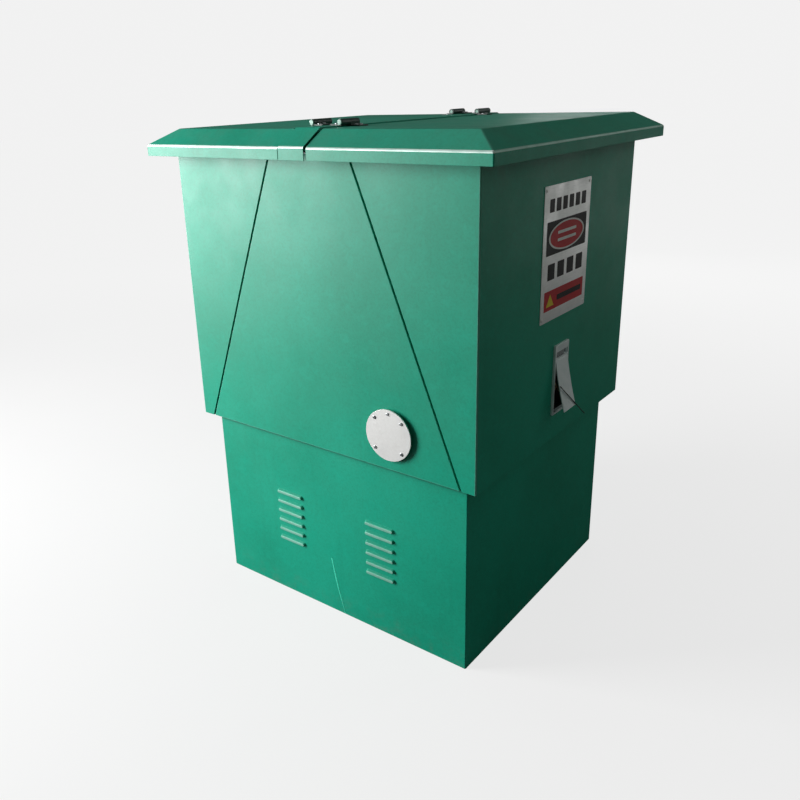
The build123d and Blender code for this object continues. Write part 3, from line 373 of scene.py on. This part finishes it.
def sign_metal():
    """Brushed aluminium sheet, a little oxidised."""
    sheet = Finish("sign_aluminium", 0.4, metallic=0.8)
    lines = sheet.noise(1.1 * mm, detail=3, stretch=(1, 0.03, 1))
    cloud = sheet.noise(60 * mm, detail=5, rough=0.6, seed=2.0)
    tone = sheet.mix(sheet.ramp(cloud, 0.3, 0.7), colour(0.96, 0.98, 0.96), colour(0.84, 0.87, 0.85))
    tone = sheet.mix(sheet.ramp(lines, 0.45, 0.75, 0.0, 0.3), tone, colour(0.55, 0.58, 0.58))
    return sheet.finish(tone, sheet.ramp(cloud, 0.3, 0.7, 0.36, 0.5), sheet.bump(lines, 0.03 * mm))


def print_film(name, tint):
    """Screen-printed ink film: faded unevenly, with pinholes and light scratches."""
    ink = Finish(name, 0.46, Specular_IOR_Level=0.2)
    pale = colour(*[0.7 * part + 0.06 for part in tint[:3]])
    sun = ink.noise(70 * mm, detail=4, rough=0.55)
    tone = ink.mix(ink.ramp(sun, 0.35, 0.75, 0.0, 0.6), tint, pale)
    scratch = ink.noise(4 * mm, detail=5, rough=0.75, stretch=(1, 1, 0.15), seed=3.0)
    tone = ink.mix(ink.ramp(scratch, 0.68, 0.78, 0.0, 0.5), tone, colour(0.5, 0.5, 0.48))
    return ink.finish(tone, ink.ramp(sun, 0.3, 0.7, 0.4, 0.56), ink.bump(scratch, 0.03 * mm))


finishes = {
    "green_paint": green_paint(),
    "hinge_steel": hinge_steel(),
    "zinc_cast": zinc_cast(),
    "bright_steel": bright_steel(),
    "galvanised": galvanised(),
    "black_rubber": rubber(
        "black_epdm_rubber", dark=colour(0.012, 0.012, 0.013), light=colour(0.032, 0.032, 0.034)
    ),
    "grey_rubber": rubber(
        "grey_silicone_rubber", dark=colour(0.06, 0.062, 0.068), light=colour(0.1, 0.102, 0.108)
    ),
    "resin": resin(),
    "copper": soft_metal(
        "copper_bar",
        bright=colour(0.8, 0.4, 0.24),
        dull=colour(0.62, 0.3, 0.18),
        tarnish=colour(0.2, 0.1, 0.07),
    ),
    "brass_parts": soft_metal(
        "nickel_brass",
        bright=colour(0.78, 0.66, 0.4),
        dull=colour(0.6, 0.5, 0.3),
        tarnish=colour(0.25, 0.2, 0.11),
    ),
    "black_nylon": nylon(),
    "sign_metal": sign_metal(),
}
satin = satin_cover()
own_finish = {"port_cover": satin, "hinge_pins": lit_pin_paint(), "right_sign_rivets": satin}


# ============================================================================ shapes

weld_distance = 0.002 * mm
flat_angle = radians(0.8)
sharp_angle = radians(32)  # edges sharper than this are eased
fold_angle = radians(20)  # folds sharper than this are rounded
ease_steps = 2
fold_steps = 5
shading_weight = 90  # how far large flat faces rule the shading of the eased edges beside them


def place_mesh(work, name, body, slot, material=None):
    """Turn finished bmesh work into a shaded piece that rides on a body."""
    mesh = bpy.data.meshes.new(name)
    for face in work.faces:
        face.smooth = True
    work.to_mesh(mesh)
    work.free()
    piece = bpy.data.objects.new(name, mesh)
    bpy.context.scene.collection.objects.link(piece)
    mesh.materials.append(material or finishes[slot])
    weight = piece.modifiers.new("even_shading", "WEIGHTED_NORMAL")
    weight.weight = shading_weight
    weight.keep_sharp = True
    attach(piece, body)
    return piece


def merged(node):
    """The node's mesh with its split vertices joined and its flat faces made whole."""
    work = bmesh.new()
    work.from_mesh(nodes[node].data)
    bmesh.ops.remove_doubles(work, verts=work.verts, dist=weld_distance)
    bmesh.ops.dissolve_limit(work, angle_limit=flat_angle, verts=work.verts, edges=work.edges)
    return work


def sharp_edges(work, angle):
    """Edges between two faces that meet at more than an angle."""
    return [edge for edge in work.edges if len(edge.link_faces) == 2 and edge.calc_face_angle() > angle]


def rounded(work, edges, radius, steps):
    """Round edges to a radius and return the new faces."""
    result = bmesh.ops.bevel(
        work,
        geom=edges,
        offset=radius,
        offset_type="OFFSET",
        segments=steps,
        profile=0.5,
        affect="EDGES",
        clamp_overlap=True,
    )
    return result["faces"]


def ease(work, radius):
    """Ease every sharp edge of a mesh and mark the new faces as wearing edges."""
    worn = work.faces.layers.float.new("edge")
    for face in rounded(work, sharp_edges(work, sharp_angle), radius, ease_steps):
        face[worn] = 1.0


def round_folds(work, chosen, radius, shine):
    """Round the convex edges that a test chooses from the edge's middle and direction.

    Shine gives how strong the painted highlight is at the middle of a new face.
    """
    marked = work.faces.layers.float.get("fold") or work.faces.layers.float.new("fold")
    folds = []
    for edge in sharp_edges(work, fold_angle):
        middle = (edge.verts[0].co + edge.verts[1].co) / 2
        along = (edge.verts[1].co - edge.verts[0].co).normalized()
        if edge.is_convex and chosen(middle, along):
            folds.append(edge)
    for face in rounded(work, folds, radius, fold_steps):
        face[marked] = shine(face.calc_center_median())


def stand_in(node, radius, *folds, add_highlights=None):
    """A piece that stands for a CAD node, with its folds rounded and its other edges eased.

    Each fold is a test for its edges, a radius and how strong its painted highlight is.
    """
    work = merged(node)
    for chosen, fold_radius, shine in folds:
        round_folds(work, chosen, fold_radius, shine)
    ease(work, radius)
    if add_highlights:
        add_highlights(work)
    body, slot = body_of_node[node], slot_of_node[node]
    piece = place_mesh(work, f"{node}_shape", body, slot, own_finish.get(node))
    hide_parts(node)


sheet_ease = 0.4 * mm  # radius of a cut sheet edge
slack = 0.3 * mm  # an edge this close to the outermost face lies on it
cut_band = 5 * mm  # edges this close to the roof's cut edges are not folds
corner_band = 20 * mm  # the plinth's corners lie this far or less behind the louvre hoods
plinth_radius = 3.0 * mm
door_radius = 3.5 * mm
hem_radius = 2.5 * mm
roof_radius = 3.4 * mm
panel_radius = 2.0 * mm
along_axis = 0.9  # share of a direction along one axis for an edge that runs along it
along_hip = 0.2  # least share along each axis for an edge that runs along a hip

plinth_half_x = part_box("plinth_shell")[1].x
hood_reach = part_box("plinth_shell")[1].y
hood_crest = hood_reach - 0.5 * mm
door_low, door_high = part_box("right_door_shell")
door_y = door_high.y
roof_low, roof_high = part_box("right_roof_half")
fascia_height = 27 * mm
fascia_top = roof_low.z + fascia_height
eaves_low, eaves_high = fascia_top - 5 * mm, fascia_top + 4.5 * mm  # around the bend

# strengths of the painted highlight that the green paint puts on fold faces and hood crests
hood_crest_highlight = 0.3
door_fold_highlight = 0.15
eaves_end_highlight = 0.92
eaves_side_highlight = 0.4


def paint_hood_highlights(work):
    """Mark the crests of the louvre hoods, which stand proud of the plinth's front and rear, for a
    painted highlight.
    """
    marked = work.faces.layers.float["fold"]
    for face in work.faces:
        if abs(face.calc_center_median().y) > hood_crest:
            face[marked] = hood_crest_highlight


def no_painted_highlight(centre):
    """No painted highlight."""
    return 0.0


def rub_wear_and_fold_highlight(centre):
    """A faint painted highlight all along a fold."""
    return door_fold_highlight


def eaves_highlight(centre):
    """The bend above the fascia gets a painted highlight, strongest at the front and rear; other bends
    get none.
    """
    if not eaves_low < centre.z < eaves_high:
        return 0.0
    return eaves_end_highlight if abs(centre.y) > roof_high.y - cut_band else eaves_side_highlight


def upright(along):
    """Whether an edge with this direction stands upright."""
    return abs(along.z) > along_axis


def plinth_fold(middle, along):
    """The plinth's four upright corners."""
    at_corner = abs(middle.x) > plinth_half_x - slack and abs(middle.y) > hood_reach - corner_band
    return upright(along) and at_corner


def door_fold(middle, along):
    """The door's two upright outer corners."""
    at_corner = abs(middle.x) > door_face - slack and abs(middle.y) > door_y - slack
    return upright(along) and at_corner


def hem_fold(middle, along):
    """The outer bends along the bottom of a door."""
    outer = abs(middle.x) > door_face - slack or abs(middle.y) > door_y - slack
    return outer and middle.z < door_low.z + slack and not upright(along)


def panel_fold(middle, along):
    """The outer bends round a fixed end panel."""
    return abs(middle.y) > door_y - slack


def outer_bend(middle):
    """Above the roof's bottom edge, on its outer skin."""
    return middle.z > roof_low.z + cut_band and (
        abs(middle.x) > roof_high.x - slack
        or abs(middle.y) > roof_high.y - slack
        or middle.z > roof_high.z - slack
    )


def roof_fold(middle, along):
    """All outer bends of a roof half: eaves, welded hips, flat top and upright corners."""
    cut_edge = abs(middle.x) < roof_low.x + cut_band
    hip = min(abs(along.x), abs(along.y), abs(along.z)) > along_hip and middle.z > fascia_top
    return (outer_bend(middle) or hip) and not cut_edge


def spine_fold(middle, along):
    """The bends across the ridge strip at both ends."""
    return outer_bend(middle) and abs(along.x) > along_axis


stand_in("plinth_shell", sheet_ease, (plinth_fold, plinth_radius, no_painted_highlight), add_highlights=paint_hood_highlights)
for side in ("right", "left"):
    door_folds = (door_fold, door_radius, rub_wear_and_fold_highlight), (hem_fold, hem_radius, rub_wear_and_fold_highlight)
    stand_in(f"{side}_door_shell", sheet_ease, *door_folds)
    stand_in(f"{side}_roof_half", sheet_ease, (roof_fold, roof_radius, eaves_highlight))
for node in ("front_panel", "rear_panel"):
    stand_in(node, sheet_ease, (panel_fold, panel_radius, no_painted_highlight))
stand_in("roof_spine", sheet_ease, (spine_fold, roof_radius, eaves_highlight))

# radius in mm, and the nodes whose edges are eased to it
eased_nodes = {
    0.6: [
        "port_ring",
        "hinge_fixed_knuckles",
        "right_hinge_knuckles",
        "left_hinge_knuckles",
        "hinge_pins",
    ],
    0.5: ["port_cover", "right_lock_frame", "left_lock_frame", "right_lock_flap", "left_lock_flap"],
    0.3: [
        "right_sign_plate",
        "right_door_ribs",
        "left_door_ribs",
        "roof_gutter",
        "sill_frame",
        "floor_plate",
    ],
    0.8: [
        "bushing_plate",
        "plate_brackets",
        "earth_bar",
        "latch_keepers",
        "cable_clamps",
        "cable_rails",
    ],
    1.0: [
        "connector_end_plugs",
        "earth_insulators",
        "earth_bolts",
        "right_latch_cam",
        "left_latch_cam",
    ],
}
for radius, group in eased_nodes.items():
    for node in group:
        stand_in(node, radius * mm)

for name, node in nodes.items():
    if not node.hide_render:
        node.data.materials.clear()
        node.data.materials.append(own_finish.get(name, finishes[slot_of_node[name]]))


# ============================================================================ sign

sign_low, sign_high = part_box("right_sign_plate")
sign_face = sign_high.x
sign_width = sign_high.y - sign_low.y
sign_height = sign_high.z - sign_low.z
film = 0.12 * mm  # thickness of one layer of ink
film_share = 0.9  # of that thickness is ink, so that two layers never touch
corner_step = 18  # degrees between the points of a rounded corner
oval_steps = 64

# shares of the plate's width and height
margin = 0.07
field_bottom, field_top = 0.5, 0.745
oval_centre = 0.6225
oval_bars = (0.585, 0.64)
oval_bar_height = 0.022
oval_bar_left, oval_bar_right = 0.3, 0.7
band_bottom, band_top = 0.085, 0.235
band_bar_left, band_bar_right = 0.34, 0.88
band_bar_bottom, band_bar_top = 0.14, 0.182
triangle = [(0.115, 0.115), (0.275, 0.115), (0.195, 0.208)]
block_rows = ((0.81, 0.905, 6), (0.315, 0.435, 4))  # bottom, top and how many blocks
blocks_left, blocks_width = 0.09, 0.82
block_share = 0.72  # of the pitch from one block to the next
block_corner = 0.01


def film_piece(name, outline, layer, material):
    """A thin printed patch on the sign; its outline holds shares of the plate's width and height."""
    work = bmesh.new()
    start = sign_face + layer * film
    corners = [
        work.verts.new((start, sign_low.y + across * sign_width, sign_low.z + up * sign_height))
        for across, up in outline
    ]
    face = work.faces.new(corners)
    face.normal_update()
    raised = bmesh.ops.extrude_face_region(work, geom=[face])
    tops = [item for item in raised["geom"] if isinstance(item, bmesh.types.BMVert)]
    bmesh.ops.translate(work, verts=tops, vec=(film_share * film, 0, 0))
    bmesh.ops.recalc_face_normals(work, faces=work.faces)
    place_mesh(work, name, "right_door", "sign_metal", material)


def rounded_box(left, right, bottom, top, corner=0.008):
    """Outline of a rectangle with rounded corners, in shares of the plate."""
    aspect = sign_width / sign_height
    points = []
    for x, y, start in (
        (right - corner, top - corner * aspect, 0),
        (left + corner, top - corner * aspect, 90),
        (left + corner, bottom + corner * aspect, 180),
        (right - corner, bottom + corner * aspect, 270),
    ):
        for turn in range(start, start + 91, corner_step):
            across, up = corner * cos(radians(turn)), corner * aspect * sin(radians(turn))
            points.append((x + across, y + up))
    return points


def oval(half_width, half_height):
    """Outline of an ellipse in the middle of the plate's width."""
    turns = [2 * pi * step / oval_steps for step in range(oval_steps)]
    return [(0.5 + half_width * cos(turn), oval_centre + half_height * sin(turn)) for turn in turns]


ink_black = print_film("black_print", colour(0.012, 0.013, 0.012))
ink_red = print_film("red_print", colour(0.58, 0.03, 0.035))
ink_white = print_film("white_print", colour(0.85, 0.87, 0.85))
ink_yellow = print_film("yellow_print", colour(0.85, 0.66, 0.06))

film_piece("sign_black_field", rounded_box(margin, 1 - margin, field_bottom, field_top), 0, ink_black)
film_piece("sign_white_oval", oval(half_width=0.385, half_height=0.108), 1, ink_white)
film_piece("sign_red_oval", oval(half_width=0.355, half_height=0.096), 2, ink_red)
film_piece("sign_red_band", rounded_box(margin, 1 - margin, band_bottom, band_top), 0, ink_red)
film_piece("sign_triangle", triangle, 1, ink_yellow)
for row, (bottom, top, blocks) in enumerate(block_rows):
    pitch = blocks_width / blocks
    for block in range(blocks):
        left = blocks_left + (block + (1 - block_share) / 2) * pitch
        outline = rounded_box(left, left + block_share * pitch, bottom, top, block_corner)
        film_piece(f"sign_block_{row}_{block}", outline, 0, ink_black)
for row, bottom in enumerate(oval_bars):
    top = bottom + oval_bar_height
    outline = rounded_box(oval_bar_left, oval_bar_right, bottom, top, block_corner)
    film_piece(f"sign_oval_bar_{row}", outline, 3, ink_white)
outline = rounded_box(band_bar_left, band_bar_right, band_bar_bottom, band_bar_top, block_corner)
film_piece("sign_band_bar", outline, 1, ink_black)


# ============================================================================ lock windows

window_drop = 25.5 * mm  # from the lock frame's upper edge to the middle of its window
window_half_width = 32.0 * mm
window_half_height = 7.5 * mm
window_depth = 3.5 * mm
shadow_thickness = 0.3 * mm
liner_top = 1.6 * mm  # above the floor of the window
liner_rim = 1.6 * mm
liner_end = 16.5 * mm  # the end of the window that the liner leaves open
liner_ease = 0.1 * mm


def painted_window_shade():
    """Dull grey painted as the shade in the shallow window, soiled unevenly."""
    liner = Finish("painted_shade_window_liner", 0.6)
    soil = liner.noise(8 * mm, detail=5, rough=0.65)
    tone = liner.mix(liner.ramp(soil, 0.35, 0.7), colour(0.36, 0.41, 0.42), colour(0.2, 0.23, 0.235))
    return liner.finish(tone, liner.ramp(soil, 0.3, 0.7, 0.5, 0.7), liner.bump(soil, 0.1 * mm))


def liner_piece(name, side, low, high, material):
    """A thin plate lying in a lock's window, between two corners given for the right-hand lock."""
    work = bmesh.new()
    bmesh.ops.create_cube(work, size=1.0)
    centre = (low + high) / 2
    centre.x *= side
    bmesh.ops.scale(work, vec=high - low, verts=work.verts)
    bmesh.ops.translate(work, vec=centre, verts=work.verts)
    ease(work, liner_ease)
    place_mesh(work, name, side_names[side] + "_door", "zinc_cast", material)


side_names = {1: "right", -1: "left"}
window_shade_grey = painted_window_shade()
for side, side_name in side_names.items():
    frame_low, frame_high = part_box(f"{side_name}_lock_frame")
    seat = max(abs(frame_low.x), abs(frame_high.x)) - window_depth
    middle_z = frame_high.z - window_drop
    start, end = -window_half_width, window_half_width - liner_end
    bottom, top = middle_z - window_half_height, middle_z + window_half_height
    # painted shade in the window: a black plate as its shadow, and a grey plate on it as the shaded
    # floor
    shadow_low = Vector((seat, start, bottom))
    shadow_high = Vector((seat + shadow_thickness, end, top))
    liner_low = Vector((seat + shadow_thickness, start + liner_rim, bottom + 1.5 * liner_rim))
    liner_high = Vector((seat + liner_top, end - liner_rim, top - liner_rim / 2))
    shadow = finishes["black_rubber"]
    liner_piece(f"{side_name}_window_shadow", side, shadow_low, shadow_high, shadow)
    liner_piece(f"{side_name}_window_liner", side, liner_low, liner_high, window_shade_grey)


# ============================================================================ rub mark

plinth_step = 26.5 * mm  # how far the plinth's front lies behind the doors' front
plinth_face = plinth_step - door_y
rub_foot = Vector((26.5 * mm, 0.0, 1 * mm))
rub_head = Vector((-13.5 * mm, 0.0, 164 * mm))
rub_bow = 2.8 * mm  # how far the mark bows out from a straight line
rub_width = 8.8 * mm
rub_sunk = 0.1 * mm
rub_proud = 0.35 * mm
rub_steps = 24
rub_taper = 0.12  # share of the mark's length that its swelling is shifted towards the head
rub_least = 0.25  # share of the full width that doesn't taper


def rub_mark():
    """A thin curved smear of pale paint on the plinth's front, thicker in its middle."""
    work = bmesh.new()
    rail = []
    for step in range(rub_steps + 1):
        share = step / rub_steps
        swell = max(rub_taper, sin(pi * min(1.0, share + rub_taper)) ** 0.5)
        centre = rub_head.lerp(rub_foot, share)
        centre.x -= rub_bow * sin(pi * share)
        half = rub_width * (rub_least + (1 - rub_least) * swell) / 2
        rail.append(
            [
                work.verts.new((centre.x - half, plinth_face + rub_sunk, centre.z)),
                work.verts.new((centre.x, plinth_face - rub_proud, centre.z)),
                work.verts.new((centre.x + half, plinth_face + rub_sunk, centre.z)),
            ]
        )
    for start, end in zip(rail, rail[1:]):
        for lane in (0, 1, 2):
            beside = (lane + 1) % 3
            work.faces.new((start[lane], start[beside], end[beside], end[lane]))
    work.faces.new(rail[0])
    work.faces.new(rail[-1])
    bmesh.ops.recalc_face_normals(work, faces=work.faces)
    place_mesh(work, "plinth_rub_mark", "cabinet", "green_paint", pale_smear())


rub_mark()

# ============================================================================ stage

floor_size = 60.0
glow_start, glow_end = 0.5, 5.0  # metres from the middle of the floor
near_glow, far_glow = 0.76, 0.87
floor_mesh = bpy.data.meshes.new("floor")
far = floor_size / 2
floor_corners = [(-far, -far, 0), (far, -far, 0), (far, far, 0), (-far, far, 0)]
floor_mesh.from_pydata(floor_corners, [], [(0, 1, 2, 3)])
floor = bpy.data.objects.new("floor", floor_mesh)
bpy.context.scene.collection.objects.link(floor)
floor_finish = Finish("pale_floor", 0.9, Specular_IOR_Level=0.1)
floor_tone = floor_finish.noise(0.6, detail=4)
distance = floor_finish.tree.nodes.new("ShaderNodeVectorMath")
distance.operation = "LENGTH"
floor_finish.connect(floor_finish.place, distance.inputs[0])
glow = floor_finish.ramp(distance.outputs["Value"], glow_start, glow_end, near_glow, far_glow)
seen_floor = floor_finish.tree.nodes.new("ShaderNodeLightPath").outputs["Is Camera Ray"]
seen_glow = floor_finish.math("MULTIPLY", glow, seen_floor)
floor_finish.connect(colour(1, 1, 1), floor_finish.shader.inputs["Emission Color"])
floor_finish.connect(seen_glow, floor_finish.shader.inputs["Emission Strength"])
floor_grey = floor_finish.mix(floor_tone, colour(0.14, 0.14, 0.14), colour(0.16, 0.16, 0.16))
floor_mesh.materials.append(floor_finish.finish(floor_grey))

world = bpy.data.worlds.new("studio")
bpy.context.scene.world = world
world.use_nodes = True
sky = world.node_tree
surroundings = sky.nodes["Background"]
surroundings.inputs["Color"].default_value = colour(0.95, 1.0, 0.95)
surroundings.inputs["Strength"].default_value = 0.08
backdrop = sky.nodes.new("ShaderNodeBackground")
backdrop.inputs["Color"].default_value = colour(0.93, 0.93, 0.93)
backdrop.inputs["Strength"].default_value = 0.95
seen = sky.nodes.new("ShaderNodeLightPath")
either = sky.nodes.new("ShaderNodeMixShader")
sky.links.new(seen.outputs["Is Camera Ray"], either.inputs["Fac"])
sky.links.new(surroundings.outputs["Background"], either.inputs[1])
sky.links.new(backdrop.outputs["Background"], either.inputs[2])
sky.links.new(either.outputs["Shader"], sky.nodes["World Output"].inputs["Surface"])


middle = Vector((0.0, 0.0, 0.75))


def softbox(name, place, width, height, power, tint=(1, 1, 1), spread=180):
    """A rectangular area light at a place, aimed at the middle of the cabinet."""
    lamp = bpy.data.lights.new(name, "AREA")
    lamp.shape = "RECTANGLE"
    lamp.size = width
    lamp.size_y = height
    lamp.energy = power
    lamp.spread = radians(spread)
    lamp.color = tint
    light = bpy.data.objects.new(name, lamp)
    light.location = place
    light.rotation_euler = (middle - Vector(place)).to_track_quat("-Z", "Y").to_euler()
    bpy.context.scene.collection.objects.link(light)


softbox("key", (-2.6, -2.2, 1.45), width=1.5, height=2.1, power=122, spread=140)
softbox("top_fill", (-0.6, 0.4, 4.2), width=2.5, height=2.5, power=12)
softbox("side_fill", (4.2, 1.2, 2.2), width=2.4, height=2.4, power=9, tint=(1.0, 1.0, 0.88))
softbox("rear_left", (-1.45, 4.6, 1.65), width=1.1, height=1.1, power=13)
softbox("rear_right", (2.4, 4.6, 0.5), width=1.6, height=1.0, power=4)
softbox("rear_high", (2.4, 4.2, 2.8), width=1.0, height=1.6, power=15)


# ============================================================================ camera

camera_place = Vector((1.2520, -1.7857, 1.3649))
azimuth = radians(38.93)
elevation = radians(19.83)
roll = radians(-2.05)
lens, sensor = 35.90, 36.0
shift = (0.0479, -0.0265)

back = Vector((sin(azimuth) * cos(elevation), -cos(azimuth) * cos(elevation), sin(elevation)))
level = Vector((0, 0, 1)).cross(back).normalized()
upward = back.cross(level)
right_axis = cos(roll) * level + sin(roll) * upward
up_axis = cos(roll) * upward - sin(roll) * level
camera_data = bpy.data.cameras.new("camera")
camera_data.lens = lens
camera_data.sensor_width = sensor
camera_data.shift_x, camera_data.shift_y = shift
camera = bpy.data.objects.new("camera", camera_data)
turned = Matrix((right_axis, up_axis, back)).transposed()
camera.matrix_world = Matrix.Translation(camera_place) @ turned.to_4x4()
bpy.context.scene.collection.objects.link(camera)
bpy.context.scene.camera = camera
bpy.context.scene.view_settings.view_transform = "Standard"
